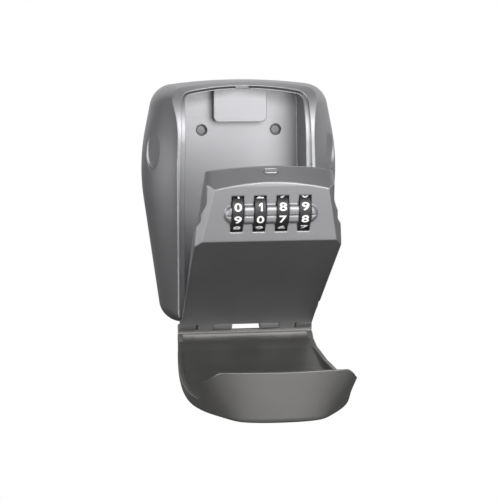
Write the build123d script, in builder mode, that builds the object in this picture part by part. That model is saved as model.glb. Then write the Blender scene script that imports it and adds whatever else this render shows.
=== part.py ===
"""Wall-mounted key box with a four-dial combination lock, shown with its lid and weather cover open.

Frame: the origin is the centre of the four wall-screw holes, on the wall face. +X is right,
-Y is away from the wall and +Z is up. Lid and cover pieces are drawn as if shut, in planes
measured from the hinge axis (forward, up), and those planes are turned open about that axis.
"""
import os
from math import atan2, cos, radians, sin

from build123d import *

os.makedirs("parts", exist_ok=True)

# ---- Driving dimensions (mm) -------------------------------------------------------------
box_width = 105.0          # across the flared flanks at the wall
rim_width = 72.5           # across the front rim
well_width = 64.6          # inside the key well
rim_out = 32.7             # rim front above the wall
rim_top = 125.6            # crown of the rim, above the hinge axis
box_top = 126.9            # crown of the box at the wall, above the hinge axis
back_wall = 3.0            # thickness of the wall that the screws clamp
rim_foot = 3.1             # lower end of the flanks, above the hinge axis
hinge_out = 27.0           # hinge axis from the wall
hinge_drop = 65.0          # hinge axis below the centre of the screw holes
lid_open = 48.0            # lid angle from shut (degrees)
cover_open = 92.5          # cover angle from shut (degrees)
screw_spacing_x = 40.0
screw_spacing_z = 70.0
screw_hole_r = 3.0
lid_wall = 2.2
cover_wall = 2.2
pin_r = 1.5                # hinge pins
knuckle_r = 3.4            # hinge knuckles
wheel_r = 10.2
wheel_width = 5.6
wheel_pitch = 10.9
wheel_count = 4
axle_r = 2.0
screw_r = 1.2              # lock cover screws

# ---- Clearances --------------------------------------------------------------------------
running = 0.05             # radial, shaft in bore
side_gap = 0.2             # between knuckles, washers and wheels along their axis
part_gap = 0.4             # between shut parts
swing_gap = 0.5            # round a turning knuckle
window_gap = 0.25          # each side of a wheel in its window


# ---- Planes about the hinge axis -----------------------------------------------------------
def at(forward, up, x=0.0, opened=0.0):
    """Point given forward of and above the hinge axis, turned open by an angle."""
    turn = radians(opened)
    y = -hinge_out - forward * cos(turn) - up * sin(turn)
    z = -hinge_drop - forward * sin(turn) + up * cos(turn)
    return Vector(x, y, z)


def side_plane(opened=0.0, x=0.0):
    """Plane across X whose local axes are forward and up."""
    turn = radians(opened)
    return Plane(at(0, 0, x, opened), x_dir=(0, -cos(turn), -sin(turn)), z_dir=(-1, 0, 0))


def front_plane(forward=0.0, opened=0.0):
    """Plane facing forward whose local axes are X and up."""
    turn = radians(opened)
    return Plane(at(forward, 0, 0, opened), x_dir=(1, 0, 0), z_dir=(0, -cos(turn), -sin(turn)))


def top_plane(up=0.0, opened=0.0):
    """Plane facing up whose local axes are X and backward."""
    turn = radians(opened)
    return Plane(at(0, up, 0, opened), x_dir=(1, 0, 0), z_dir=(0, -sin(turn), cos(turn)))


# ---- Shared outlines -----------------------------------------------------------------------
def shield(plane, crown, corners, radii):
    """Symmetric face with an arched top: right-hand corners from the top down, each rounded."""
    left = [(-x, up) for x, up in corners]
    with BuildSketch(plane) as face:
        with BuildLine():
            ThreePointArc(left[0], (0, crown), corners[0])
            Polyline(*corners, *reversed(left))
        make_face()
        for (x, up), radius in zip(corners, radii):
            if radius:
                near = [v for v in face.vertices() if abs(abs(v.X) - x) < 0.01 and abs(v.Y - up) < 0.01]
                fillet(near, radius)
    return face.sketch


def profile(plane, points, radii=None, inset=0.0):
    """Closed side profile through points (forward, up), some corners rounded, then set in."""
    with BuildSketch(plane) as face:
        with BuildLine():
            Polyline(*points, close=True)
        make_face()
        for (forward, up), radius in (radii or {}).items():
            near = [v for v in face.vertices() if abs(v.X - forward) < 0.01 and abs(v.Y - up) < 0.01]
            fillet(near, radius)
        if inset:
            offset(amount=-inset, kind=Kind.INTERSECTION)
    return face.sketch


def bar_profile(plane, forward, up, radius):
    """Round bar seen along X."""
    with BuildSketch(plane) as face:
        with Locations((forward, up)):
            Circle(radius)
    return face.sketch


# ---- Casing --------------------------------------------------------------------------------
half_rim = rim_width / 2
half_box = box_width / 2
half_well = well_width / 2
band = 1.2                 # outer rim band
ledge_half = half_rim - band
rim_forward = rim_out - hinge_out
wall_forward = -hinge_out
shoulder_up = 96.0         # the rim turns back towards the wall above this height
shoulder_r = 40.0
ledge_step = 2.0           # ledge behind the rim band at the shoulder
ledge_foot = 4.4           # ledge behind the rim band at the foot
ledge_top = 124.4
well_top = 122.8
well_foot = 8.0
flank_corner = (half_box - 7.0, 123.3)
flank_wide = (half_box + 1.1, 83.0)
flank_foot = (half_box - 10.9, -1.8)
pocket_skin = 3.4          # wall left round the hollow flanks
scoop_up = 90.3
scoop_out = 16.3
scoop_half = (9.4, 5.4)    # finger scoop, up and along the flank
scoop_depth = 0.9
scoop_inset = 5.0          # flank at the scoop, inside half the box width
scoop_turn = 31.0          # slope of the flank there (degrees)
pad_width = 28.4
pad_foot = 104.6
pad_height = 6.5           # raised pad on the back wall
knuckle_inner = 7.5
knuckle_outer = 17.3


def flank_outline(out, flare, inset=0.0):
    """Outline of the box at a distance from the wall; flare 0 is the rim and 1 the widest."""
    def mix(rim, wall):
        return rim + (wall - rim) * flare
    corners = [
        (mix(half_rim - 1.2, flank_corner[0]) - inset, mix(rim_top - 3.4, flank_corner[1]) - inset),
        (mix(half_rim, flank_wide[0]) - inset, flank_wide[1]),
        (mix(half_rim, flank_foot[0]) - inset, mix(rim_foot, flank_foot[1]) + inset),
    ]
    radii = [mix(7.0, 13.0) - inset, mix(150.0, 110.0), mix(3.0, 11.0) + inset / 2]
    return shield(front_plane(out - hinge_out), mix(rim_top, box_top) - inset, corners, radii)


def shoulder_face(plane, step, foot_step, reach):
    """Side profile bounded by the rim surface set back by step, closed in front or behind."""
    radius = shoulder_r - step
    top = rim_top + 4
    centre = rim_forward - shoulder_r
    end_forward = centre + (radius ** 2 - (top - shoulder_up) ** 2) ** 0.5
    turn = atan2(top - shoulder_up, end_forward - centre) / 2
    start = (rim_forward - step, shoulder_up)
    middle = (centre + radius * cos(turn), shoulder_up + radius * sin(turn))
    foot = (rim_forward - foot_step, rim_foot)
    low = (rim_forward - foot_step, -30)
    high = top + 30 if reach > 0 else top
    with BuildSketch(plane) as face:
        with BuildLine():
            Polyline(low, foot, start)
            ThreePointArc(start, middle, (end_forward, top))
            if reach > 0:
                Line((end_forward, top), (end_forward, high))
            Polyline((end_forward, high), (reach, high), (reach, -30), low)
        make_face()
    return face.sketch


with BuildPart() as ledge_cut:
    extrude(shoulder_face(side_plane(), ledge_step, ledge_foot, 40), amount=box_width, both=True)
    ledge_corners = [(ledge_half - 1.6, ledge_top - 3.6), (ledge_half, 60.0), (ledge_half, -20.0)]
    ledge_face = shield(front_plane(-hinge_out), ledge_top, ledge_corners, [6.0, 0, 0])
    extrude(ledge_face, amount=2 * hinge_out + 40, mode=Mode.INTERSECT)

with BuildPart() as flank_pocket:
    pocket_faces = [flank_outline(0.0, 0.985, pocket_skin), flank_outline(12.0, 0.8, pocket_skin),
                    flank_outline(rim_out - 7.0, 0.2, pocket_skin)]
    loft(pocket_faces)
    with BuildSketch(front_plane(wall_forward)) as well_box:
        with Locations((0, 60)):
            Rectangle(well_width + 2 * 4.6, 200)
    extrude(well_box.sketch, amount=60, mode=Mode.SUBTRACT)

with BuildPart() as casing:
    loft([flank_outline(0.0, 0.985), flank_outline(6.0, 1.0), flank_outline(19.0, 0.62),
          flank_outline(rim_out, 0.0)])
    extrude(shoulder_face(side_plane(), 0, 0, 40), amount=box_width, both=True, mode=Mode.SUBTRACT)
    add(ledge_cut.part, mode=Mode.SUBTRACT)
    add(flank_pocket.part, mode=Mode.SUBTRACT)
    # key well
    well_corners = [(half_well - 1.0, well_top - 3.4), (half_well, 60.0), (half_well, well_foot)]
    well_face = shield(front_plane(back_wall - hinge_out), well_top, well_corners, [4.0, 0, 3.0])
    extrude(well_face, amount=60, mode=Mode.SUBTRACT)
    # raised bare pad at the top of the back wall
    pad_corners = [(pad_width / 2, well_top + 0.5), (pad_width / 2, pad_foot)]
    pad_face = shield(front_plane(back_wall - hinge_out - 0.5), well_top + 0.8, pad_corners, [0, 3.0])
    extrude(pad_face, amount=pad_height + 0.5)
    # finger scoops in the flanks
    for side in (-1, 1):
        outward = Vector(side * cos(radians(scoop_turn)), -sin(radians(scoop_turn)), 0)
        flank_point = Vector(side * (half_box - scoop_inset), -scoop_out, scoop_up - hinge_drop)
        scoop_plane = Plane(flank_point - outward * scoop_depth, x_dir=(outward.Y, -outward.X, 0),
                            z_dir=outward)
        with BuildSketch(scoop_plane) as scoop:
            Ellipse(scoop_half[1], scoop_half[0])
        extrude(scoop.sketch, amount=6, taper=-12, mode=Mode.SUBTRACT)
    # room for the hinge below the floor, then the two fixed knuckles
    with BuildSketch(side_plane()) as hinge_room:
        Circle(knuckle_r + swing_gap)
        with Locations((2.5, -2.0)):
            Rectangle(10.0, 8.0)
    extrude(hinge_room.sketch, amount=ledge_half, both=True, mode=Mode.SUBTRACT)
    for side in (-1, 1):
        knuckle_face = profile(side_plane(x=side * (knuckle_inner + knuckle_outer) / 2),
                               [(-knuckle_r, 0), (-knuckle_r, 6), (0.6, 6), (knuckle_r, 0)])
        extrude(knuckle_face, amount=(knuckle_outer - knuckle_inner) / 2, both=True)
        knuckle_bar = bar_profile(side_plane(x=side * (knuckle_inner + knuckle_outer) / 2), 0, 0, knuckle_r)
        extrude(knuckle_bar, amount=(knuckle_outer - knuckle_inner) / 2, both=True)
    extrude(bar_profile(side_plane(), 0, 0, pin_r), amount=knuckle_outer + 1, both=True, mode=Mode.SUBTRACT)
    # wall screws
    with Locations(Plane.XZ):
        with GridLocations(screw_spacing_x, screw_spacing_z, 2, 2):
            Cylinder(screw_hole_r, 30, mode=Mode.SUBTRACT)
    # pocket in the top wall that the finger tab locks behind
    with BuildSketch(top_plane(well_top - 2)) as latch_pocket:
        with Locations((0, 8.9)):
            Rectangle(7.6, 3.6)
    extrude(latch_pocket.sketch, amount=4.1, mode=Mode.SUBTRACT)

casing.part.label = "casing"
export_step(casing.part, "parts/casing.step")

# ---- Hinge pins and washers ----------------------------------------------------------------
lid_knuckle = (knuckle_outer + side_gap, 25.6)       # inner and outer end, from the middle
washer_width = 0.6
cover_knuckle = (lid_knuckle[1] + washer_width + 2 * side_gap, 34.6)
pin_inner = knuckle_inner + 0.3
pin_outer = cover_knuckle[1] - 0.3
bore_r = pin_r + running

for side, name in ((-1, "left"), (1, "right")):
    with BuildPart() as hinge_pin:
        pin_face = bar_profile(side_plane(x=side * (pin_inner + pin_outer) / 2), 0, 0, pin_r)
        extrude(pin_face, amount=(pin_outer - pin_inner) / 2, both=True)
        chamfer(hinge_pin.edges().filter_by(GeomType.CIRCLE), 0.3)
    hinge_pin.part.label = f"hinge_pin_{name}"
    export_step(hinge_pin.part, f"parts/hinge_pin_{name}.step")

with BuildPart() as hinge_washers:
    for side in (-1, 1):
        washer_middle = side * (lid_knuckle[1] + side_gap + washer_width / 2)
        for radius, mode in ((knuckle_r - 0.3, Mode.ADD), (bore_r, Mode.SUBTRACT)):
            washer_face = bar_profile(side_plane(x=washer_middle), 0, 0, radius)
            extrude(washer_face, amount=washer_width / 2, both=True, mode=mode)
hinge_washers.part.label = "hinge_washers"
export_step(hinge_washers.part, "parts/hinge_washers.step")


def add_knuckles(span, opened, web):
    """Pair of knuckles on the hinge axis with a web to their plate, as a separate part."""
    with BuildPart() as knuckles:
        for side in (-1, 1):
            plane = side_plane(opened, side * (span[0] + span[1]) / 2)
            half = (span[1] - span[0]) / 2
            extrude(bar_profile(plane, 0, 0, knuckle_r), amount=half, both=True)
            extrude(profile(plane, web), amount=half, both=True)
            extrude(bar_profile(plane, 0, 0, bore_r), amount=half + 1, both=True, mode=Mode.SUBTRACT)
    return knuckles.part


def clear_knuckles(reach, opened):
    """Room round the hinge axis for the knuckles of the other pieces."""
    with BuildPart() as room:
        extrude(bar_profile(side_plane(opened), 0, 0, knuckle_r + swing_gap), amount=reach, both=True)
    return room.part


# ---- Lid shell -------------------------------------------------------------------------------
ridge = (13.4, 94.6)       # edge between the lower face and the dial panel, as if shut
brow = (-1.2, 119.6)       # edge between the dial panel and the top face
lid_crown = 121.0
lid_half = 36.2
nest_half = ledge_half - part_gap
panel_half_low = 33.0
panel_half_high = 27.4
bevel_back = (8.4, 94.6)   # where the bevel meets the side wall
lid_foot = 3.9             # lower edge of the lid's face
housing_half = half_well - 1.2
housing_wall = 2.0
housing_foot = 78.0
housing_back = -12.4
boss_r = 2.1
boss_spots = [(28.3, 83.0), (28.3, 110.5)]
axle_depth = 6.8           # dial axle behind the panel
window_height = 19.0
index_length = 45.5
index_height = 9.8
index_rise = 2.5
index_groove = 0.7
tab_forward = -8.9         # finger tab of the latch, in the top face
tab_size = (6.6, 2.6)
tab_gap = 0.25

lean = atan2(ridge[0] - brow[0], brow[1] - ridge[1])
panel_middle = ((ridge[0] + brow[0]) / 2, (ridge[1] + brow[1]) / 2)
axle_at = (panel_middle[0] - axle_depth * cos(lean), panel_middle[1] - axle_depth * sin(lean))
wheel_middles = [(i - (wheel_count - 1) / 2) * wheel_pitch for i in range(wheel_count)]
lid_up = at(0, 1, 0, lid_open) - at(0, 0, 0, lid_open)


def panel_plane(lift=0.0):
    """Plane on the dial panel, lifted off it, whose local axes are X and up the panel."""
    turn = radians(lid_open) - lean
    forward = panel_middle[0] + lift * cos(lean)
    up = panel_middle[1] + lift * sin(lean)
    return Plane(at(forward, up, 0, lid_open), x_dir=(1, 0, 0), z_dir=(0, -cos(turn), -sin(turn)))


def lid_solid(inset=0.0):
    """Outer body of the lid, or the hollow inside it when inset by the wall."""
    region = [(knuckle_r - inset, lid_foot), (ridge[0] - inset * 1.2, ridge[1] - inset * 0.2),
              (brow[0] - inset * 1.2, brow[1] - inset * 0.2), (brow[0] - 2.9, lid_crown + 2),
              (-60, lid_crown + 2), (-60, lid_foot)]
    corners = [(nest_half - 0.9 - inset, lid_crown - 4.3 - inset), (lid_half - inset, ridge[1] - 4),
               (nest_half - inset, lid_foot - 1)]
    with BuildPart() as body:
        extrude(profile(side_plane(lid_open), region), amount=60, both=True)
        front = shield(front_plane(-60, lid_open), lid_crown - inset, corners, [7.5 - inset, 40.0, 0])
        extrude(front, amount=90, mode=Mode.INTERSECT)
        for side in (-1, 1):
            low = at(*ridge, side * (panel_half_low - inset * 0.7), lid_open)
            high = at(*brow, side * (panel_half_high - inset * 0.7), lid_open)
            back = at(*bevel_back, side * (lid_half - inset), lid_open)
            normal = (high - low).cross(back - low) * side
            split(bisect_by=Plane(low, z_dir=normal), keep=Keep.TOP)
    return body.part


with BuildPart() as lock_housing:
    housing_plane = front_plane(housing_back, lid_open)
    with BuildSketch(housing_plane):
        with Locations((0, (housing_foot + lid_crown + 5) / 2)):
            Rectangle(2 * housing_half, lid_crown + 5 - housing_foot)
    extrude(amount=30)
    inner_half = housing_half - housing_wall
    extrude(shield(housing_plane, lid_crown - lid_wall, [(inner_half, lid_crown - 6.0),
                                                         (inner_half, housing_foot + housing_wall)],
                   [4.0, 0]), amount=31, mode=Mode.SUBTRACT)
    with BuildSketch(housing_plane) as bosses:
        for across, up in boss_spots:
            with Locations((across, up), (-across, up)):
                Circle(boss_r)
    extrude(bosses.sketch, amount=30)
    add(lid_solid(), mode=Mode.INTERSECT)

with BuildPart() as behind_band:
    extrude(shoulder_face(side_plane(lid_open), -part_gap, -part_gap, -60), amount=60, both=True)
    nest_corners = [(x - part_gap, up - (part_gap if n == 0 else 0))
                    for n, (x, up) in enumerate(ledge_corners)]
    nest = shield(front_plane(-80, lid_open), ledge_top - part_gap, nest_corners,
                  [6.0 - part_gap, 0, 0])
    extrude(nest, amount=120, mode=Mode.SUBTRACT)

with BuildPart() as lid_shell:
    add(lid_solid())
    ledge_side = side_plane(lid_open)
    behind_ledge = shoulder_face(ledge_side, ledge_step - part_gap, ledge_foot - part_gap, -60)
    extrude(behind_ledge, amount=60, both=True, mode=Mode.SUBTRACT)
    add(behind_band.part, mode=Mode.SUBTRACT)
    add(lid_solid(lid_wall), mode=Mode.SUBTRACT)
    add(lock_housing.part)
    # convex index bar across the dial windows, with a fine groove along it
    with BuildSketch(panel_plane(-lid_wall / 2)) as index_bar:
        SlotOverall(index_length, index_height)
    extrude(index_bar.sketch, amount=index_rise + lid_wall / 2)
    index_top = lid_shell.edges().filter_by_position(
        Axis(panel_plane().origin, panel_plane().z_dir), index_rise - 0.01, index_rise + 0.01)
    fillet(index_top, index_rise - 0.1)
    groove_plane = panel_plane(index_rise - index_groove)
    with BuildSketch(groove_plane) as groove:
        Rectangle(index_length + 4, 0.5)
    extrude(groove.sketch, amount=2, mode=Mode.SUBTRACT)
    # dial windows
    with BuildSketch(panel_plane(-lid_wall - 3)) as windows:
        with Locations(*[(x, 0) for x in wheel_middles]):
            Rectangle(wheel_width + 2 * window_gap, window_height)
    extrude(windows.sketch, amount=12, mode=Mode.SUBTRACT)
    # hole for the finger tab, and screw bores in the bosses
    with BuildSketch(top_plane(lid_crown - lid_wall - 1, lid_open)) as tab_hole:
        with Locations((0, -tab_forward)):
            SlotOverall(tab_size[0] + 2 * tab_gap, tab_size[1] + 2 * tab_gap)
    extrude(tab_hole.sketch, amount=8, mode=Mode.SUBTRACT)
    with BuildSketch(front_plane(housing_back, lid_open)) as boss_bores:
        for across, up in boss_spots:
            with Locations((across, up), (-across, up)):
                Circle(screw_r)
    extrude(boss_bores.sketch, amount=8, mode=Mode.SUBTRACT)
    # hinge knuckles
    add(clear_knuckles(ledge_half, lid_open), mode=Mode.SUBTRACT)
    add(add_knuckles(lid_knuckle, lid_open, [(0, 0), (knuckle_r, 0), (knuckle_r + 0.05, lid_foot + 0.4),
                                             (knuckle_r - 1.7, lid_foot + 0.4)]))
lid_shell.part.label = "lid_shell"
export_step(lid_shell.part, "parts/lid_shell.step")

# ---- Lock: frame, axle, wheels, code sleeves ---------------------------------------------------
sleeve_width = wheel_pitch - wheel_width - 0.9
washer_thick = 0.5
sleeve_r = 4.2
cheek_thick = 1.6
cheek_left = wheel_middles[0] - wheel_width / 2 - side_gap
cheek_right = wheel_middles[-1] + wheel_pitch - wheel_width / 2
web_up = (90.2, 91.8)
cheek_back = -9.6
axle_left = cheek_left - cheek_thick - 1.2
axle_right = cheek_right + cheek_thick + 1.2


def slab(profile_face, low, high):
    """Side profile on the middle plane drawn out from x = low to x = high, as a separate part."""
    with BuildPart() as piece:
        extrude(profile_face.moved(Location(((low + high) / 2, 0, 0))), amount=(high - low) / 2, both=True)
    return piece.part


with BuildPart() as lock_frame:
    cheek = profile(side_plane(lid_open), [(cheek_back, web_up[0]), (cheek_back, 108), (-4, 111),
                                           (0.8, 109.0), (3.8, 103.8), (7.5, web_up[0])],
                    {(-4, 111): 3, (0.8, 109.0): 3})
    add(slab(cheek, cheek_left - cheek_thick, cheek_left))
    add(slab(cheek, cheek_right, cheek_right + cheek_thick))
    web = profile(side_plane(lid_open), [(cheek_back, web_up[0]), (cheek_back, web_up[1]),
                                         (6.0, web_up[1]), (6.0, web_up[0])])
    add(slab(web, -inner_half, inner_half))
    extrude(bar_profile(side_plane(lid_open), *axle_at, axle_r + 0.01), amount=40, both=True,
            mode=Mode.SUBTRACT)
lock_frame.part.label = "lock_frame"
export_step(lock_frame.part, "parts/lock_frame.step")

with BuildPart() as dial_axle:
    add(slab(bar_profile(side_plane(lid_open), *axle_at, axle_r), axle_left, axle_right))
    chamfer(dial_axle.edges().filter_by(GeomType.CIRCLE), 0.4)
dial_axle.part.label = "dial_axle"
export_step(dial_axle.part, "parts/dial_axle.step")

for number, middle in enumerate(wheel_middles, start=1):
    wheel_end = middle + wheel_width / 2
    with BuildPart() as wheel:
        add(slab(bar_profile(side_plane(lid_open), *axle_at, wheel_r), middle - wheel_width / 2, wheel_end))
        chamfer(wheel.edges().filter_by(GeomType.CIRCLE), 0.35)
        axle_bore = bar_profile(side_plane(lid_open, middle), *axle_at, axle_r + running)
        extrude(axle_bore, amount=wheel_width, both=True, mode=Mode.SUBTRACT)
    wheel.part.label = f"dial_wheel_{number}"
    export_step(wheel.part, f"parts/dial_wheel_{number}.step")

    with BuildPart() as sleeve:
        add(slab(bar_profile(side_plane(lid_open), *axle_at, sleeve_r), wheel_end, wheel_end + sleeve_width))
        with BuildSketch(side_plane(lid_open, middle)) as gate:
            with Locations((axle_at[0] - sleeve_r, axle_at[1])):
                Rectangle(2.4, 2.0)
        extrude(gate.sketch, amount=wheel_pitch, both=True, mode=Mode.SUBTRACT)
        extrude(axle_bore, amount=wheel_pitch, both=True, mode=Mode.SUBTRACT)
    sleeve.part.label = f"code_sleeve_{number}"
    export_step(sleeve.part, f"parts/code_sleeve_{number}.step")

with BuildPart() as dial_washers:
    for middle in wheel_middles:
        washer_low = middle + wheel_width / 2 + sleeve_width + side_gap
        add(slab(bar_profile(side_plane(lid_open), *axle_at, 4.2), washer_low, washer_low + washer_thick))
    extrude(bar_profile(side_plane(lid_open), *axle_at, axle_r + running), amount=40, both=True,
            mode=Mode.SUBTRACT)
dial_washers.part.label = "dial_washers"
export_step(dial_washers.part, "parts/dial_washers.step")

with BuildPart() as detent_spring:
    spring_base = profile(side_plane(lid_open), [(cheek_back + 0.3, web_up[1]), (-6.6, web_up[1]),
                                                 (-6.6, web_up[1] + 0.4), (cheek_back + 0.3, web_up[1] + 0.4)])
    add(slab(spring_base, cheek_left + 0.3, cheek_right - 0.3))
    finger = profile(side_plane(lid_open), [(-7.4, web_up[1] + 0.1), (-7.4, web_up[1] + 0.4),
                                            (axle_at[0] - 0.8, web_up[1] + 1.4), (axle_at[0], web_up[1] + 1.05),
                                            (axle_at[0] - 0.8, web_up[1] + 1.1)])
    for middle in wheel_middles:
        add(slab(finger, middle - 1.2, middle + 1.2))
detent_spring.part.label = "detent_spring"
export_step(detent_spring.part, "parts/detent_spring.step")

# ---- Lock: latch, cover plate, screws, code lever ----------------------------------------------
plate_back = -12.0
plate_front = -10.9
latch_half = 19.0
tongue_up = (86.0, 87.2)
tab_proud = 0.6
latch_rise = 2.6
latch_press = 1.5
cover_plate = 1.2
head_r = 2.3
head_high = 1.2
lever_pivot = (-14.0, 97.0)
lever_shaft_r = 2.0
lever_thick = 1.4
lever_length = 11.0

with BuildPart() as latch_slide:
    latch_outline = profile(front_plane(plate_back, lid_open),
                            [(-latch_half, 99), (-latch_half, 109), (-6, 116), (6, 116), (latch_half, 109),
                             (latch_half, 99), (4.5, 99), (4.5, tongue_up[0]), (-4.5, tongue_up[0]), (-4.5, 99)])
    extrude(latch_outline, amount=plate_front - plate_back)
    block = profile(side_plane(lid_open), [(plate_back, 115.2), (tab_forward + 1.3, 115.2),
                                           (tab_forward + 1.3, 116.1), (plate_back, 116.1)])
    add(slab(block, -3.3, 3.3))
    tongue = profile(side_plane(lid_open), [(plate_back, tongue_up[0]), (-6.4, tongue_up[0]),
                                            (-6.4, tongue_up[1]), (plate_back, tongue_up[1])])
    add(slab(tongue, -4.5, 4.5))
    with BuildSketch(top_plane(115.6, lid_open)) as tab:
        with Locations((0, -tab_forward)):
            SlotOverall(*tab_size)
    extrude(tab.sketch, amount=lid_crown + tab_proud - 115.6)
    tab_top = latch_slide.faces().sort_by(Axis(at(0, 0), lid_up))[-1]
    fillet(tab_top.edges(), 0.5)
latch_slide.part.label = "latch_slide"
export_step(latch_slide.part, "parts/latch_slide.step")

spring_wire = 0.25
spring_r = 1.7
spring_gap = 0.05
spring_low = housing_foot + housing_wall + spring_gap + spring_wire
spring_high = tongue_up[0] - spring_gap - spring_wire
with BuildPart() as latch_spring:
    with BuildLine() as coil:
        Helix(pitch=(spring_high - spring_low) / 4, height=spring_high - spring_low, radius=spring_r,
              center=at(-9.0, spring_low, 0, lid_open), direction=lid_up)
    with BuildSketch(Plane(coil.line @ 0, z_dir=coil.line % 0)):
        Circle(spring_wire)
    sweep()
latch_spring.part.label = "latch_spring"
export_step(latch_spring.part, "parts/latch_spring.step")

with BuildPart() as lock_cover:
    cover_half = housing_half - 0.3
    cover_face = shield(front_plane(housing_back - cover_plate, lid_open), lid_crown - 1.8,
                        [(cover_half, lid_crown - 5.4), (cover_half, housing_foot + 0.3)], [5.0, 1.5])
    extrude(cover_face, amount=cover_plate)
    with BuildSketch(front_plane(housing_back - cover_plate, lid_open)) as cover_holes:
        for across, up in boss_spots:
            with Locations((across, up), (-across, up)):
                Circle(screw_r + 0.2)
        with Locations(lever_pivot):
            Circle(lever_shaft_r + running)
    extrude(cover_holes.sketch, amount=cover_plate, mode=Mode.SUBTRACT)
lock_cover.part.label = "lock_cover"
export_step(lock_cover.part, "parts/lock_cover.step")

with BuildPart() as lock_screws:
    screw_spots = [(side * across, up) for across, up in boss_spots for side in (-1, 1)]
    with BuildSketch(front_plane(housing_back - cover_plate, lid_open)) as shanks:
        with Locations(*screw_spots):
            Circle(screw_r)
    extrude(shanks.sketch, amount=cover_plate + 7)
    with BuildSketch(front_plane(housing_back - cover_plate, lid_open)) as heads:
        with Locations(*screw_spots):
            Circle(head_r)
    extrude(heads.sketch, amount=-head_high)
    with BuildSketch(front_plane(housing_back - cover_plate - head_high, lid_open)) as recesses:
        with Locations(*screw_spots):
            Rectangle(2.4, 0.6)
            Rectangle(0.6, 2.4)
    extrude(recesses.sketch, amount=0.7, mode=Mode.SUBTRACT)
lock_screws.part.label = "lock_screws"
export_step(lock_screws.part, "parts/lock_screws.step")

with BuildPart() as code_lever:
    lever_back = housing_back - cover_plate - 0.1
    with BuildSketch(front_plane(lever_back - lever_thick, lid_open)) as lever_arm:
        with Locations(lever_pivot):
            Circle(4.0)
        with Locations((lever_pivot[0], lever_pivot[1] - lever_length / 2)):
            SlotCenterToCenter(lever_length, 4.4, rotation=90)
    extrude(lever_arm.sketch, amount=lever_thick)
    with BuildSketch(front_plane(lever_back - 0.1, lid_open)) as lever_shaft:
        with Locations(lever_pivot):
            Circle(lever_shaft_r)
    extrude(lever_shaft.sketch, amount=cover_plate + 0.4)
code_lever.part.label = "code_lever"
export_step(code_lever.part, "parts/code_lever.step")

# ---- Weather cover -----------------------------------------------------------------------------
cover_front = 22.6         # front of the shut cover, forward of the hinge axis
cover_edge_r = 3.5         # rounding round the cover's front
flange = 7.0               # depth of the turned edge along the sides
lip_end = -3.4             # rear end of the lip over the lid
lip_crown = 125.4
front_crown = 119.8
# right-hand side of the cover from the foot up: at the rear of the lip, then at the front
hood_rear = [(35.2, -8.0), (38.2, 20.0), (40.4, 48.0), (41.2, 68.0), (41.6, 84.0), (41.5, 100.0),
             (40.2, 113.0), (35.2, 120.2), (20.0, 124.2)]
hood_front = [(35.2, -8.0), (38.2, 20.0), (40.2, 48.0), (40.3, 68.0), (38.8, 82.0), (34.3, 94.0),
              (26.0, 107.5), (20.0, 115.6), (11.5, 118.9)]
cover_foot = -3.6          # underside of the shut cover, below the hinge axis
plate_start = 0.6          # rear edge of that underside
plate_notch = 4.0          # rear edge between the cover's knuckles, where the fixed knuckles stand
cover_curve = {(9.2, cover_foot): 9.0, (14.6, 8.6): 14.0, (20.3, 28.0): 60.0, (cover_front, 60.0): 120.0}


def hood_outline(plane, points, crown, inset):
    """Smooth symmetric face through points on its right-hand side, moved inwards by inset."""
    right = [(points[0][0] - inset, points[0][1])]
    for before, (x, up), after in zip(points, points[1:], points[2:] + [(0, crown)]):
        run, rise = after[0] - before[0], after[1] - before[1]
        length = (run ** 2 + rise ** 2) ** 0.5
        right.append((x - inset * rise / length, up + inset * run / length))
    left = [(-x, up) for x, up in reversed(right)]
    with BuildSketch(plane) as face:
        with BuildLine():
            Spline(*right, (0, crown - inset), *left)
            Line(left[-1], right[0])
        make_face()
    return face.sketch


def cover_solid(inset=0.0):
    """Outer body of the weather cover, or the hollow inside it when inset by the wall."""
    front = [*cover_curve, (cover_front, 140), (-60, 140), (-60, cover_foot)]
    region = profile(side_plane(cover_open), front, cover_curve, inset)
    forward_dir = at(1, 0, 0, cover_open) - at(0, 0, 0, cover_open)
    up_dir = at(0, 1, 0, cover_open) - at(0, 0, 0, cover_open)
    with BuildPart() as body:
        loft([hood_outline(front_plane(lip_end - 1, cover_open), hood_rear, lip_crown, inset),
              hood_outline(front_plane(cover_front + 1, cover_open), hood_front, front_crown, inset)],
             ruled=True)
        extrude(region, amount=60, both=True, mode=Mode.INTERSECT)
        fronts = [f for f in body.faces() if f.normal_at(f.center()).dot(forward_dir) > 0.5]
        rim = [e for e in body.edges() if up_dir.dot(e.center() - at(0, 0)) > 3
               and sum(any(e.is_same(other) for other in f.edges()) for f in fronts) == 1]
        fillet(rim, cover_edge_r - inset)
    return body.part


with BuildPart() as weather_cover:
    add(cover_solid())
    add(cover_solid(cover_wall), mode=Mode.SUBTRACT)
    trim = profile(side_plane(cover_open),
                   [(-60, -30), (plate_start, -30), (plate_start, cover_foot + cover_wall),
                    (5.4, cover_foot + cover_wall), (9.2, 2.0), (12.2, 9.0), (15.0, 27.0), (cover_front - flange, 50.0), (cover_front - flange, 97.0),
                    (4.8, 107.5), (3.0, 112.0), (1.2, 116.0), (-1.4, 119.8), (lip_end, 122.2), (lip_end, 150.0),
                    (-60, 150.0)],
                   {(cover_front - flange, 97.0): 7.0, (15.0, 27.0): 30.0, (4.8, 107.5): 5.0, (-1.4, 119.8): 3.0})
    extrude(trim, amount=60, both=True, mode=Mode.SUBTRACT)
    add(clear_knuckles(cover_knuckle[0] - side_gap, cover_open), mode=Mode.SUBTRACT)
    notch = profile(side_plane(cover_open), [(-10, -10), (plate_notch, -10), (plate_notch, 0), (-10, 0)])
    extrude(notch, amount=knuckle_outer + side_gap, both=True, mode=Mode.SUBTRACT)
    add(add_knuckles(cover_knuckle, cover_open, [(-1, -1), (plate_start, cover_foot + 0.25),
                                                 (4.5, cover_foot + 0.25), (4.5, cover_foot + 1.7), (1, 1)]),
        clean=False)
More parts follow.
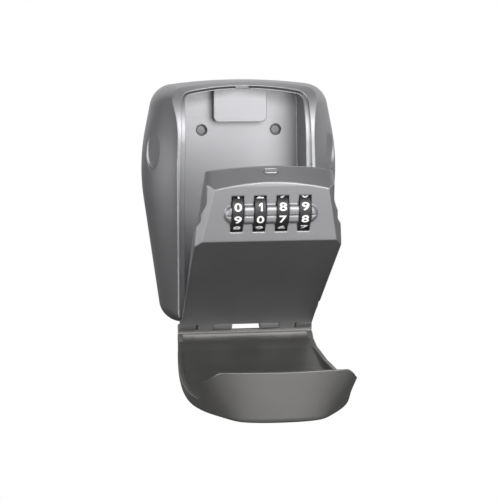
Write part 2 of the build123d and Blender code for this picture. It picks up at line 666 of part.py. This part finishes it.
weather_cover.part.label = "weather_cover"
export_step(weather_cover.part, "parts/weather_cover.step")
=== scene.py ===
# %% [markdown]
# # A wall-mounted key lock box, open
#
# This lesson dresses a mechanical model of a four-dial key box. The casing is made to be bolted
# to a wall, the lid swings out on a bottom hinge with the dials in it, and a weather cover hangs
# below. The shapes of the metal and plastic pieces come ready-made from CAD, so the work here is
# finishes, numerals, the skins in the screw holes, light and camera.

import math

import bmesh
import bpy
from mathutils import Matrix, Vector


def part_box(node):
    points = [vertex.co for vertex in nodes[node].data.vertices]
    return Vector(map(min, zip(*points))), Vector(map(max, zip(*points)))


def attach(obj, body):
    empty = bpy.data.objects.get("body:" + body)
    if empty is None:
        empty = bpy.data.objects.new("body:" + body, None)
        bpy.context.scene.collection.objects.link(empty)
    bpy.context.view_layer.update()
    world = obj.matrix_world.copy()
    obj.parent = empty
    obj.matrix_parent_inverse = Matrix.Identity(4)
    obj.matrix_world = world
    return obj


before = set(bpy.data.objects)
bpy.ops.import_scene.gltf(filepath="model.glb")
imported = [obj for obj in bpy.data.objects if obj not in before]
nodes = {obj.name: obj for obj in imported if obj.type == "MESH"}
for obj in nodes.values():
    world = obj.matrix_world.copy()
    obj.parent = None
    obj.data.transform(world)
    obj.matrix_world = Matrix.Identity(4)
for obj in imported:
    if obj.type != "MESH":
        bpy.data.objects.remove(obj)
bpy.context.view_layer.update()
print("pieces from CAD:", len(nodes))

# %% [markdown]
# ## Helpers for node trees
#
# Every finish below is a small graph of shader nodes. Four helpers keep them readable: one adds a
# node and fills its sockets by name, one joins two sockets, one makes a Math node and one starts
# a node group.

# %% Node helpers
MM = 0.001


def add_node(tree, kind, values=None, **settings):
    """Adds a node, sets its properties, then its input sockets by name."""
    node = tree.nodes.new(kind)
    for key, value in settings.items():
        setattr(node, key, value)
    for key, value in (values or {}).items():
        node.inputs[key].default_value = value
    return node


def join(tree, source, target):
    """Joins an output socket to an input socket."""
    tree.links.new(source, target)


def math_node(tree, operation, first, second):
    """One Math node; an input can be a number or another socket."""
    node = add_node(tree, "ShaderNodeMath", operation=operation)
    for slot, value in zip(node.inputs, (first, second)):
        if isinstance(value, (int, float)):
            slot.default_value = value
        else:
            join(tree, value, slot)
    return node.outputs[0]


def new_group(name, inputs, outputs):
    """An empty shader node group with named sockets, and its two end nodes."""
    group = bpy.data.node_groups.new(name, "ShaderNodeTree")
    for title, value in inputs.items():
        socket = group.interface.new_socket(title, in_out="INPUT", socket_type="NodeSocketFloat")
        socket.default_value = value
    for title, kind in outputs.items():
        group.interface.new_socket(title, in_out="OUTPUT", socket_type=kind)
    return group, group.nodes.new("NodeGroupInput"), group.nodes.new("NodeGroupOutput")


# %% [markdown]
# ## Grain
#
# A sprayed coat is never quite flat: it has a fine orange-peel relief, and its tone drifts a
# little from place to place. Both are noise at two scales. The group puts out a height for a
# Bump node and a slow mask for the colour, so each finish can use its own amounts.

# %% Build the grain group
grain, grain_in, grain_out = new_group(
    "sprayed_grain",
    {"Fine Scale": 1400.0, "Broad Scale": 40.0},
    {"Height": "NodeSocketFloat", "Drift": "NodeSocketFloat"},
)
grain_place = add_node(grain, "ShaderNodeTexCoord")
grain_fine = add_node(grain, "ShaderNodeTexNoise", {"Detail": 3.0, "Roughness": 0.6})
grain_broad = add_node(grain, "ShaderNodeTexNoise", {"Detail": 2.0, "Roughness": 0.5})
for noise, scale in ((grain_fine, "Fine Scale"), (grain_broad, "Broad Scale")):
    join(grain, grain_place.outputs["Object"], noise.inputs["Vector"])
    join(grain, grain_in.outputs[scale], noise.inputs["Scale"])
join(grain, grain_fine.outputs["Fac"], grain_out.inputs["Height"])
join(grain, grain_broad.outputs["Fac"], grain_out.inputs["Drift"])
print("group:", grain.name)

# %% [markdown]
# ## Soft edges
#
# Cast and stamped edges are never razor sharp: they carry a small radius that catches a line of
# light, and there the coat is thinner and handled more. The Bevel node rounds the shading
# without touching the mesh. Comparing its normal with the flat one finds the edge, so the same
# node also gives a mask for the wear.

# %% Build the edge group
edges, edges_in, edges_out = new_group(
    "soft_edges",
    {"Radius": 0.0004},
    {"Normal": "NodeSocketVector", "Edge": "NodeSocketFloat"},
)
edge_bevel = add_node(edges, "ShaderNodeBevel", samples=6)
join(edges, edges_in.outputs["Radius"], edge_bevel.inputs["Radius"])
edge_flat = add_node(edges, "ShaderNodeNewGeometry")
edge_dot = add_node(edges, "ShaderNodeVectorMath", operation="DOT_PRODUCT")
join(edges, edge_bevel.outputs["Normal"], edge_dot.inputs[0])
join(edges, edge_flat.outputs["Normal"], edge_dot.inputs[1])
edge_turn = math_node(edges, "SUBTRACT", 1.0, edge_dot.outputs["Value"])
edge_mask = add_node(edges, "ShaderNodeMapRange",
                     {"From Min": 0.01, "From Max": 0.25, "To Min": 0.0, "To Max": 1.0})
join(edges, edge_turn, edge_mask.inputs["Value"])
join(edges, edge_bevel.outputs["Normal"], edges_out.inputs["Normal"])
join(edges, edge_mask.outputs["Result"], edges_out.inputs["Edge"])
print("group:", edges.name)

# %% [markdown]
# ## Scuffs
#
# Metal that is handled has faint hairlines in a main direction. A noise that is far coarser along
# one axis than across it looks like them; a second, rounder noise breaks the lines up.

# %% Build the scuff group
scuffs, scuffs_in, scuffs_out = new_group(
    "hairline_scuffs",
    {"Density": 0.5, "Along": 12.0, "Across": 1500.0},
    {"Scuff": "NodeSocketFloat"},
)
scuff_place = add_node(scuffs, "ShaderNodeTexCoord")
scuff_stretch = add_node(scuffs, "ShaderNodeVectorMath", operation="MULTIPLY")
scuff_scale = add_node(scuffs, "ShaderNodeCombineXYZ")
for axis, socket in (("X", "Along"), ("Y", "Across"), ("Z", "Across")):
    join(scuffs, scuffs_in.outputs[socket], scuff_scale.inputs[axis])
join(scuffs, scuff_place.outputs["Object"], scuff_stretch.inputs[0])
join(scuffs, scuff_scale.outputs["Vector"], scuff_stretch.inputs[1])
scuff_lines = add_node(scuffs, "ShaderNodeTexNoise", {"Scale": 1.0, "Detail": 2.0})
join(scuffs, scuff_stretch.outputs["Vector"], scuff_lines.inputs["Vector"])
scuff_patches = add_node(scuffs, "ShaderNodeTexNoise", {"Scale": 70.0, "Detail": 1.0})
join(scuffs, scuff_place.outputs["Object"], scuff_patches.inputs["Vector"])
scuff_sharp = add_node(scuffs, "ShaderNodeMapRange",
                       {"From Min": 0.5, "From Max": 0.75, "To Min": 0.0, "To Max": 1.0})
join(scuffs, scuff_lines.outputs["Fac"], scuff_sharp.inputs["Value"])
scuff_broken = math_node(scuffs, "MULTIPLY", scuff_sharp.outputs["Result"], scuff_patches.outputs["Fac"])
scuff_amount = math_node(scuffs, "MULTIPLY", scuff_broken, scuffs_in.outputs["Density"])
join(scuffs, scuff_amount, scuffs_out.inputs["Scuff"])
print("group:", scuffs.name)

# %% [markdown]
# ## One recipe for the finishes
#
# The finishes differ in colour, metal, gloss, relief and wear, but their graphs are the same:
# the drift mask tints the colour, the edge mask lightens it, the scuffs roughen it, and grain
# and soft edges meet in one Bump node. So one function builds them, with numbers per finish.
# The Principled BSDF stays in the material itself, where an exporter can read it.


# %% The finish recipe
scuff_roughening = 0.25
grain_depth = 0.1 * MM


def finish_material(name, colour, worn, metallic, roughness, relief, fine=1400.0, broad=40.0,
                    drift=0.08, radius=0.0004, wear=0.4, scuff=0.3, along=12.0):
    """A coated or bare surface: colour drift, worn edges, hairlines and grain."""
    material = bpy.data.materials.new(name)
    material.use_nodes = True
    tree = material.node_tree
    shader = tree.nodes["Principled BSDF"]
    grain_node = add_node(tree, "ShaderNodeGroup", node_tree=grain)
    grain_node.inputs["Fine Scale"].default_value = fine
    grain_node.inputs["Broad Scale"].default_value = broad
    edge_node = add_node(tree, "ShaderNodeGroup", node_tree=edges)
    edge_node.inputs["Radius"].default_value = radius
    scuff_node = add_node(tree, "ShaderNodeGroup", node_tree=scuffs)
    scuff_node.inputs["Density"].default_value = scuff
    scuff_node.inputs["Along"].default_value = along

    # colour: drift between a darker and a lighter tone, then the worn tone on the edges
    ramp = add_node(tree, "ShaderNodeMix", data_type="RGBA")
    ramp.inputs["A"].default_value = (*[c * (1 - drift) for c in colour], 1)
    ramp.inputs["B"].default_value = (*[min(1, c * (1 + drift)) for c in colour], 1)
    join(tree, grain_node.outputs["Drift"], ramp.inputs["Factor"])
    edge_mix = add_node(tree, "ShaderNodeMix", data_type="RGBA")
    edge_mix.inputs["B"].default_value = (*worn, 1)
    join(tree, math_node(tree, "MULTIPLY", edge_node.outputs["Edge"], wear), edge_mix.inputs["Factor"])
    join(tree, ramp.outputs["Result"], edge_mix.inputs["A"])
    join(tree, edge_mix.outputs["Result"], shader.inputs["Base Color"])

    # gloss: the scuffs roughen it
    scuffed = math_node(tree, "MULTIPLY_ADD", scuff_node.outputs["Scuff"], scuff_roughening)
    scuffed.node.inputs[2].default_value = roughness
    join(tree, scuffed, shader.inputs["Roughness"])
    shader.inputs["Metallic"].default_value = metallic

    # relief
    bump = add_node(tree, "ShaderNodeBump", {"Strength": relief, "Distance": grain_depth})
    join(tree, grain_node.outputs["Height"], bump.inputs["Height"])
    join(tree, edge_node.outputs["Normal"], bump.inputs["Normal"])
    join(tree, bump.outputs["Normal"], shader.inputs["Normal"])
    return material


# %% [markdown]
# ## Silver-grey enamel
#
# The casing and lid are zinc castings under a satin silver-grey coat. A mostly metallic shader
# with a middling roughness gives its soft, broad highlights; plain paint would look chalky. The
# skins in the screw holes sit in the shade of the well, and their coat is a darker copy of the
# enamel: painted shade.

# %% Coated castings
enamel_grey = (0.30, 0.30, 0.31)
enamel_worn = (0.55, 0.55, 0.56)
casing_finish = finish_material("silver_enamel_casing", enamel_grey, enamel_worn, 0.92, 0.46, 0.20,
                                radius=0.0008, wear=0.45, scuff=0.25)
lid_finish = finish_material("silver_enamel_lid", enamel_grey, enamel_worn, 0.92, 0.44, 0.18,
                             radius=0.0011, wear=0.5, scuff=0.3)
# painted shade: the skins' coat is the enamel made darker for the shade in the well
blank_painted_shade_finish = finish_material("enamel_painted_shade_on_blanks", (0.16, 0.16, 0.165), enamel_worn, 0.92, 0.46,
                               0.20, radius=0.0003, wear=0.25, scuff=0.2)

# %% [markdown]
# ## Weather cover
#
# The cover takes the rain. It is a darker, slightly warm grey with a closed satin skin, less
# metallic than the castings, so it stays even and dull where it curves.

# %% Cover finish
cover_finish = finish_material("cover_satin_grey", (0.17, 0.168, 0.162), (0.30, 0.30, 0.29), 0.75, 0.44,
                               0.25, fine=1100.0, radius=0.0007, wear=0.4, scuff=0.2)

# %% [markdown]
# ## Bare metals inside
#
# The lock works are stamped and turned parts: a zinc-plated plate, turned screws, pins and axle,
# a plain steel frame, bright springs and brass sleeves. They share the recipe at full metallic,
# and differ in tone, hairlines and roughness. The latch has a satin grey coat, so it is less
# metallic.

# %% Bare metals
plate_finish = finish_material("zinc_plate", (0.48, 0.49, 0.50), (0.65, 0.65, 0.66), 1.0, 0.36, 0.15,
                               fine=500.0, broad=160.0, drift=0.16, radius=0.0002, scuff=0.7)
steel_finish = finish_material("turned_steel", (0.42, 0.42, 0.43), (0.6, 0.6, 0.6), 1.0, 0.26, 0.10,
                               radius=0.0002, scuff=0.9, along=1500.0)
frame_finish = finish_material("stamped_steel", (0.36, 0.36, 0.37), (0.55, 0.55, 0.55), 1.0, 0.40, 0.2,
                               radius=0.0002, scuff=0.8)
spring_finish = finish_material("spring_wire", (0.55, 0.55, 0.57), (0.7, 0.7, 0.7), 1.0, 0.22, 0.05,
                                radius=0.00005, scuff=0.4)
latch_finish = finish_material("latch_casting", (0.34, 0.34, 0.35), (0.6, 0.6, 0.6), 0.6, 0.34, 0.15,
                               radius=0.0003, scuff=0.5)
brass_finish = finish_material("turned_brass", (0.62, 0.46, 0.20), (0.75, 0.6, 0.32), 1.0, 0.28, 0.1,
                               radius=0.0002, scuff=0.8, along=1500.0)

# %% [markdown]
# ## Plastics
#
# The dials are black mouldings, dull from fingers; the code lever is a shade lighter, and the
# washers are dark nylon. None is metallic, and wear shows as a faint greying of the edges. The
# printed numerals are white.

# %% Plastics
wheel_finish = finish_material("dial_black", (0.012, 0.012, 0.013), (0.06, 0.06, 0.06), 0.0, 0.42, 0.3,
                               fine=1800.0, drift=0.2, radius=0.0003, wear=0.35, scuff=0.2)
lever_finish = finish_material("lever_black", (0.03, 0.03, 0.03), (0.1, 0.1, 0.1), 0.0, 0.5, 0.4,
                               radius=0.0003)
nylon_finish = finish_material("nylon_washer", (0.06, 0.06, 0.06), (0.14, 0.14, 0.14), 0.0, 0.5, 0.2,
                               radius=0.0001, scuff=0.1)
figure_finish = finish_material("figure_white", (0.86, 0.86, 0.85), (0.7, 0.7, 0.69), 0.0, 0.45, 0.2,
                                fine=2500.0, broad=600.0, drift=0.05, radius=0.00008, wear=0.3)
print("finishes:", len(bpy.data.materials))

# %% [markdown]
# ## Dress the pieces
#
# Each CAD piece keeps its shape and gets its finish in every material slot. The table reads
# like a parts list, and the assertion stops the script if a piece is missing from it.

# %% Give every piece its finish
finishes = {
    "casing": casing_finish,
    "lid_shell": lid_finish,
    "weather_cover": cover_finish,
    "hinge_pin_left": steel_finish,
    "hinge_pin_right": steel_finish,
    "hinge_washers": nylon_finish,
    "lock_cover": plate_finish,
    "lock_screws": steel_finish,
    "lock_frame": frame_finish,
    "dial_axle": steel_finish,
    "dial_washers": nylon_finish,
    "detent_spring": spring_finish,
    "latch_slide": latch_finish,
    "latch_spring": spring_finish,
    "code_lever": lever_finish,
}
for number in range(1, 5):
    finishes[f"dial_wheel_{number}"] = wheel_finish
    finishes[f"code_sleeve_{number}"] = brass_finish
assert set(finishes) == set(nodes), set(finishes) ^ set(nodes)
for name, piece in nodes.items():
    for index in range(len(piece.material_slots)):
        piece.material_slots[index].material = finishes[name]
print("dressed:", len(finishes))

# %% [markdown]
# ## Numerals on the dials
#
# The dials have their numerals printed in white, ten to a turn. A printed numeral could be
# a texture, but a thin mesh wrapped round the dial stays sharp at any distance and turns with
# the dial. Each starts as a flat outline, is cut into narrow bands so that it can bend, and is
# rolled onto the cylinder.

# %% Measure the dials
figure_count = 10
figure_step = 2 * math.pi / figure_count
figure_height = 4.1 * MM
figure_width = 3.6 * MM
figure_lift = 0.06 * MM
figure_sink = 0.03 * MM
figure_boldness = 0.022
figure_smoothness = 6
band_height = 0.25 * MM
dial_low, dial_high = (Vector(corner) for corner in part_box("dial_wheel_1"))
dial_radius = (dial_high.y - dial_low.y) / 2
dial_centre = (dial_low + dial_high) / 2
print("dial radius mm:", round(dial_radius / MM, 2))


# %% Flat numerals
# the font's 1 loses its flag when made bold, so that one is a plain polygon: x, y from -0.5 to 0.5
one_outline = [(0.02, -0.5), (0.5, -0.5), (0.5, 0.5), (0.10, 0.5), (-0.5, 0.26), (-0.5, 0.02),
               (0.02, 0.22)]
one_width = figure_width / 2


def flat_figure(text):
    """Outline of one numeral as a flat bmesh, centred, at its real size."""
    if text == "1":
        flat = bmesh.new()
        flat.faces.new([flat.verts.new((x * one_width, y * figure_height, 0)) for x, y in one_outline])
        return cut_in_bands(flat)
    curve = bpy.data.curves.new("figure_outline", "FONT")
    curve.body = text
    curve.offset = figure_boldness
    curve.resolution_u = figure_smoothness
    holder = bpy.data.objects.new("figure_outline", curve)
    mesh = bpy.data.meshes.new_from_object(holder)
    bpy.data.objects.remove(holder)
    bpy.data.curves.remove(curve)
    flat = bmesh.new()
    flat.from_mesh(mesh)
    bpy.data.meshes.remove(mesh)
    xs = [v.co.x for v in flat.verts]
    ys = [v.co.y for v in flat.verts]
    for v in flat.verts:
        v.co.x = ((v.co.x - min(xs)) / (max(xs) - min(xs)) - 0.5) * figure_width
        v.co.y = ((v.co.y - min(ys)) / (max(ys) - min(ys)) - 0.5) * figure_height
    return cut_in_bands(flat)


def cut_in_bands(flat):
    """Cuts a flat numeral across, so that it can bend round the dial."""
    bands = int(figure_height / band_height)
    for band in range(1, bands):
        cut = -figure_height / 2 + band * figure_height / bands
        parts = flat.verts[:] + flat.edges[:] + flat.faces[:]
        bmesh.ops.bisect_plane(flat, geom=parts, plane_co=(0, cut, 0), plane_no=(0, 1, 0))
    return flat


# %% [markdown]
# Rolling is one formula: height up the numeral becomes an angle about the dial's axle. The lid
# stands open, so the angle is counted from the line that the tilted panel faces along. The first
# row sits a little below that line, and each next one is a tenth of a turn further up.

# %% Roll the numerals onto the dials
panel_line = math.radians(-17.7)
first_row = panel_line + math.radians(-8.7)


def wrap_figure(target, text, middle_x, angle):
    """Adds one numeral to the target bmesh, at an angle above the line straight forward."""
    flat = flat_figure(text)
    placed = {}
    for lift in (0.0, figure_lift):
        for v in flat.verts:
            turn = angle + v.co.y / dial_radius
            reach = dial_radius - figure_sink + lift
            spot = (middle_x + v.co.x, dial_centre.y - reach * math.cos(turn),
                    dial_centre.z + reach * math.sin(turn))
            placed[(v.index, lift > 0)] = target.verts.new(spot)
    for face in flat.faces:
        target.faces.new([placed[(v.index, True)] for v in face.verts])
    for edge in flat.edges:
        if len(edge.link_faces) == 1:
            loop = edge.link_loops[0]
            first, second = loop.vert, loop.link_loop_next.vert
            target.faces.new([placed[(second.index, True)], placed[(first.index, True)],
                              placed[(first.index, False)], placed[(second.index, False)]])
    flat.free()


first_row_figures = [9, 0, 7, 8]
for number, front_figure in enumerate(first_row_figures, start=1):
    low, high = (Vector(corner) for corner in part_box(f"dial_wheel_{number}"))
    middle_x = (low.x + high.x) / 2
    figures = bmesh.new()
    for place in range(figure_count):
        figure = str((front_figure + place) % figure_count)
        wrap_figure(figures, figure, middle_x, first_row + place * figure_step)
    mesh = bpy.data.meshes.new(f"dial_figures_{number}")
    figures.to_mesh(mesh)
    figures.free()
    mesh.materials.append(figure_finish)
    ring = bpy.data.objects.new(f"dial_figures_{number}", mesh)
    bpy.context.collection.objects.link(ring)
    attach(ring, f"dial_{number}")
    print(ring.name, "faces:", len(mesh.polygons))

# %% [markdown]
# ## Blanked screw holes
#
# The casing's four screw holes are closed by a thin skin until the box is mounted, and this box
# has not been mounted. Each skin is a disc that rises in a low step towards its middle, a little
# behind the face of the back wall.

# %% Skins across the screw holes
hole_across = 20 * MM
hole_up = 35 * MM
skin_radius = 2.97 * MM
skin_back = 0.6 * MM
skin_front = 0.9 * MM
skin_sides = 48
skin_rings = ((1.0, 1.0), (0.82, 1.0), (0.72, 1.25))    # shares of the radius and of the front
skin_crown = 1.3                                        # share of the front at the middle


def skin_ring(target, across, up, radius, out):
    """A ring of points about a hole's axis, at a distance out from the wall."""
    angles = [k * math.tau / skin_sides for k in range(skin_sides)]
    return [target.verts.new((across + radius * math.cos(a), -out, up + radius * math.sin(a)))
            for a in angles]


def screw_hole_skin(target, across, up):
    """Adds one closed, stepped disc to the target bmesh."""
    rings = [skin_ring(target, across, up, skin_radius * wide, skin_front * out)
             for wide, out in skin_rings]
    crown = target.verts.new((across, -skin_front * skin_crown, up))
    back = skin_ring(target, across, up, skin_radius, skin_back)
    for outer, inner in zip([back] + rings, rings):
        for k in range(skin_sides):
            n = (k + 1) % skin_sides
            target.faces.new([outer[k], outer[n], inner[n], inner[k]])
    for k in range(skin_sides):
        target.faces.new([rings[-1][k], rings[-1][(k + 1) % skin_sides], crown])
    target.faces.new(back)


skins = bmesh.new()
for across in (-hole_across, hole_across):
    for up in (-hole_up, hole_up):
        screw_hole_skin(skins, across, up)
bmesh.ops.recalc_face_normals(skins, faces=skins.faces[:])
skin_mesh = bpy.data.meshes.new("hole_blanks")
skins.to_mesh(skin_mesh)
skins.free()
# the skins take the darker enamel, which is painted shade of the well
skin_mesh.materials.append(blank_painted_shade_finish)
hole_blanks = bpy.data.objects.new("hole_blanks", skin_mesh)
bpy.context.collection.objects.link(hole_blanks)
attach(hole_blanks, "box")

# %% [markdown]
# ## Floor
#
# A plain pale floor lies below the box. Seen directly it is white like the room, so the box
# stands clear of it; to the lamps it is plain paint.

# %% Pale floor
floor_drop = 0.22
floor_half = 6.0
floor_mesh = bpy.data.meshes.new("studio_floor")
corners = [(-floor_half, -floor_half), (floor_half, -floor_half), (floor_half, floor_half),
           (-floor_half, floor_half)]
floor_mesh.from_pydata([(x, y, -floor_drop) for x, y in corners], [], [(0, 1, 2, 3)])
floor = bpy.data.objects.new("studio_floor", floor_mesh)
bpy.context.collection.objects.link(floor)
floor_material = bpy.data.materials.new("pale_floor")
floor_material.use_nodes = True
tree = floor_material.node_tree
floor_shader = tree.nodes["Principled BSDF"]
floor_shader.inputs["Base Color"].default_value = (0.35, 0.35, 0.35, 1)
floor_shader.inputs["Roughness"].default_value = 0.7
floor_glow = add_node(tree, "ShaderNodeEmission", {"Strength": 1.0})
floor_mix = add_node(tree, "ShaderNodeMixShader")
floor_rays = add_node(tree, "ShaderNodeLightPath")
floor_seen = math_node(tree, "MAXIMUM", floor_rays.outputs["Is Camera Ray"],
                       floor_rays.outputs["Is Transmission Ray"])
join(tree, floor_seen, floor_mix.inputs["Fac"])
join(tree, floor_shader.outputs["BSDF"], floor_mix.inputs[1])
join(tree, floor_glow.outputs["Emission"], floor_mix.inputs[2])
join(tree, floor_mix.outputs["Shader"], tree.nodes["Material Output"].inputs["Surface"])
floor_mesh.materials.append(floor_material)

# %% [markdown]
# ## World and lamps
#
# Seen directly or in a mirror, the room is plain white. For lighting it is only a dim fill, so
# that the lamps shape the box: a broad soft lamp in front and to the right, a narrow one above
# it, one on the left for the flank, a weaker one overhead for the faces that look up, and a weak
# low one that lifts the undersides.

# %% World
world = bpy.data.worlds.new("studio")
bpy.context.scene.world = world
world.use_nodes = True
tree = world.node_tree
fill = tree.nodes["Background"]
fill.inputs["Color"].default_value = (0.98, 0.99, 1.0, 1)
fill.inputs["Strength"].default_value = 0.30
white = add_node(tree, "ShaderNodeBackground", {"Color": (1, 1, 1, 1), "Strength": 1.0})
rays = add_node(tree, "ShaderNodeLightPath")
seen = math_node(tree, "MAXIMUM", rays.outputs["Is Camera Ray"], rays.outputs["Is Glossy Ray"])
seen = math_node(tree, "MAXIMUM", seen, rays.outputs["Is Transmission Ray"])
world_mix = add_node(tree, "ShaderNodeMixShader")
join(tree, seen, world_mix.inputs["Fac"])
join(tree, fill.outputs["Background"], world_mix.inputs[1])
join(tree, white.outputs["Background"], world_mix.inputs[2])
join(tree, world_mix.outputs["Shader"], tree.nodes["World Output"].inputs["Surface"])


# %% Lamps
def soft_lamp(name, place, aim, wide, high, watts):
    """A rectangular soft box at a place, facing a point."""
    data = bpy.data.lights.new(name, "AREA")
    data.shape = "RECTANGLE"
    data.size = wide
    data.size_y = high
    data.energy = watts
    lamp = bpy.data.objects.new(name, data)
    lamp.location = place
    lamp.rotation_euler = (Vector(aim) - Vector(place)).to_track_quat("-Z", "Y").to_euler()
    lamp.visible_camera = False
    bpy.context.collection.objects.link(lamp)


centre = (0.0, -0.05, 0.0)
soft_lamp("front_box", (0.52, -1.38, 0.02), centre, 0.9, 0.7, 9.0)
soft_lamp("key_box", (0.25, -1.22, 0.52), centre, 0.9, 0.3, 9.0)
soft_lamp("left_fill", (-1.3, -0.6, 0.04), centre, 0.8, 0.46, 10.0)
soft_lamp("top_box", (0.05, 0.25, 1.2), centre, 0.9, 0.6, 4.0)
soft_lamp("low_bounce", (0.1, -0.55, -0.205), (0.1, -0.5, 1.0), 1.0, 0.5, 1.5)


# %% [markdown]
# A satin metal shows what stands round it. A studio keeps it from washing out with black cards
# beside, above and below the object, out of the camera's sight; their dark reflections give the
# flanks their tone.

# %% Dark cards
card_material = bpy.data.materials.new("black_card")
card_material.use_nodes = True
card_shader = card_material.node_tree.nodes["Principled BSDF"]
card_shader.inputs["Base Color"].default_value = (0.02, 0.02, 0.02, 1)
card_shader.inputs["Roughness"].default_value = 1.0


def dark_card(name, centre_at, across, up):
    """A flat black card spanned by two half-edges, seen only in reflections."""
    middle, across, up = Vector(centre_at), Vector(across), Vector(up)
    mesh = bpy.data.meshes.new(name)
    mesh.from_pydata([middle - across - up, middle + across - up, middle + across + up,
                      middle - across + up], [], [(0, 1, 2, 3)])
    mesh.materials.append(card_material)
    card = bpy.data.objects.new(name, mesh)
    bpy.context.collection.objects.link(card)
    card.visible_camera = False
    card.visible_shadow = False
    card.visible_diffuse = False


dark_card("left_card", (-1.6, 0.1, 0.1), (0, 1.3, 0), (0, 0, 1.2))
dark_card("top_card", (0.0, 0.0, 1.5), (1.5, 0, 0), (0, 1.0, 0))
dark_card("low_card", (0.0, 0.25, -0.21), (1.0, 0, 0), (0, 0.35, 0))

# %% [markdown]
# ## Camera
#
# A long lens from about a metre, a little to the left and just above the box, keeps the uprights
# nearly parallel and lets the eye look into the key well over the open lid.

# %% Camera
camera_data = bpy.data.cameras.new("camera")
camera_data.lens = 136.6
camera_data.sensor_width = 36.0
camera_data.shift_x = 0.0134
camera_data.shift_y = -0.0962
camera_data.clip_start = 0.05
camera = bpy.data.objects.new("camera", camera_data)
bpy.context.collection.objects.link(camera)
azimuth, elevation, roll = (math.radians(a) for a in (-8.4, 6.25, -0.1))
aim = Vector((0.0, -20.0 * MM, -1.9 * MM))
camera_distance = 1001 * MM
away = Vector((math.sin(azimuth) * math.cos(elevation), -math.cos(azimuth) * math.cos(elevation),
               math.sin(elevation)))
camera.location = aim + away * camera_distance
turn = (-away).to_track_quat("-Z", "Y").to_matrix() @ Matrix.Rotation(roll, 3, "Z")
camera.rotation_euler = turn.to_euler()
bpy.context.scene.camera = camera
bpy.context.scene.view_settings.view_transform = "Standard"
print("camera at", [round(c, 3) for c in camera.location])
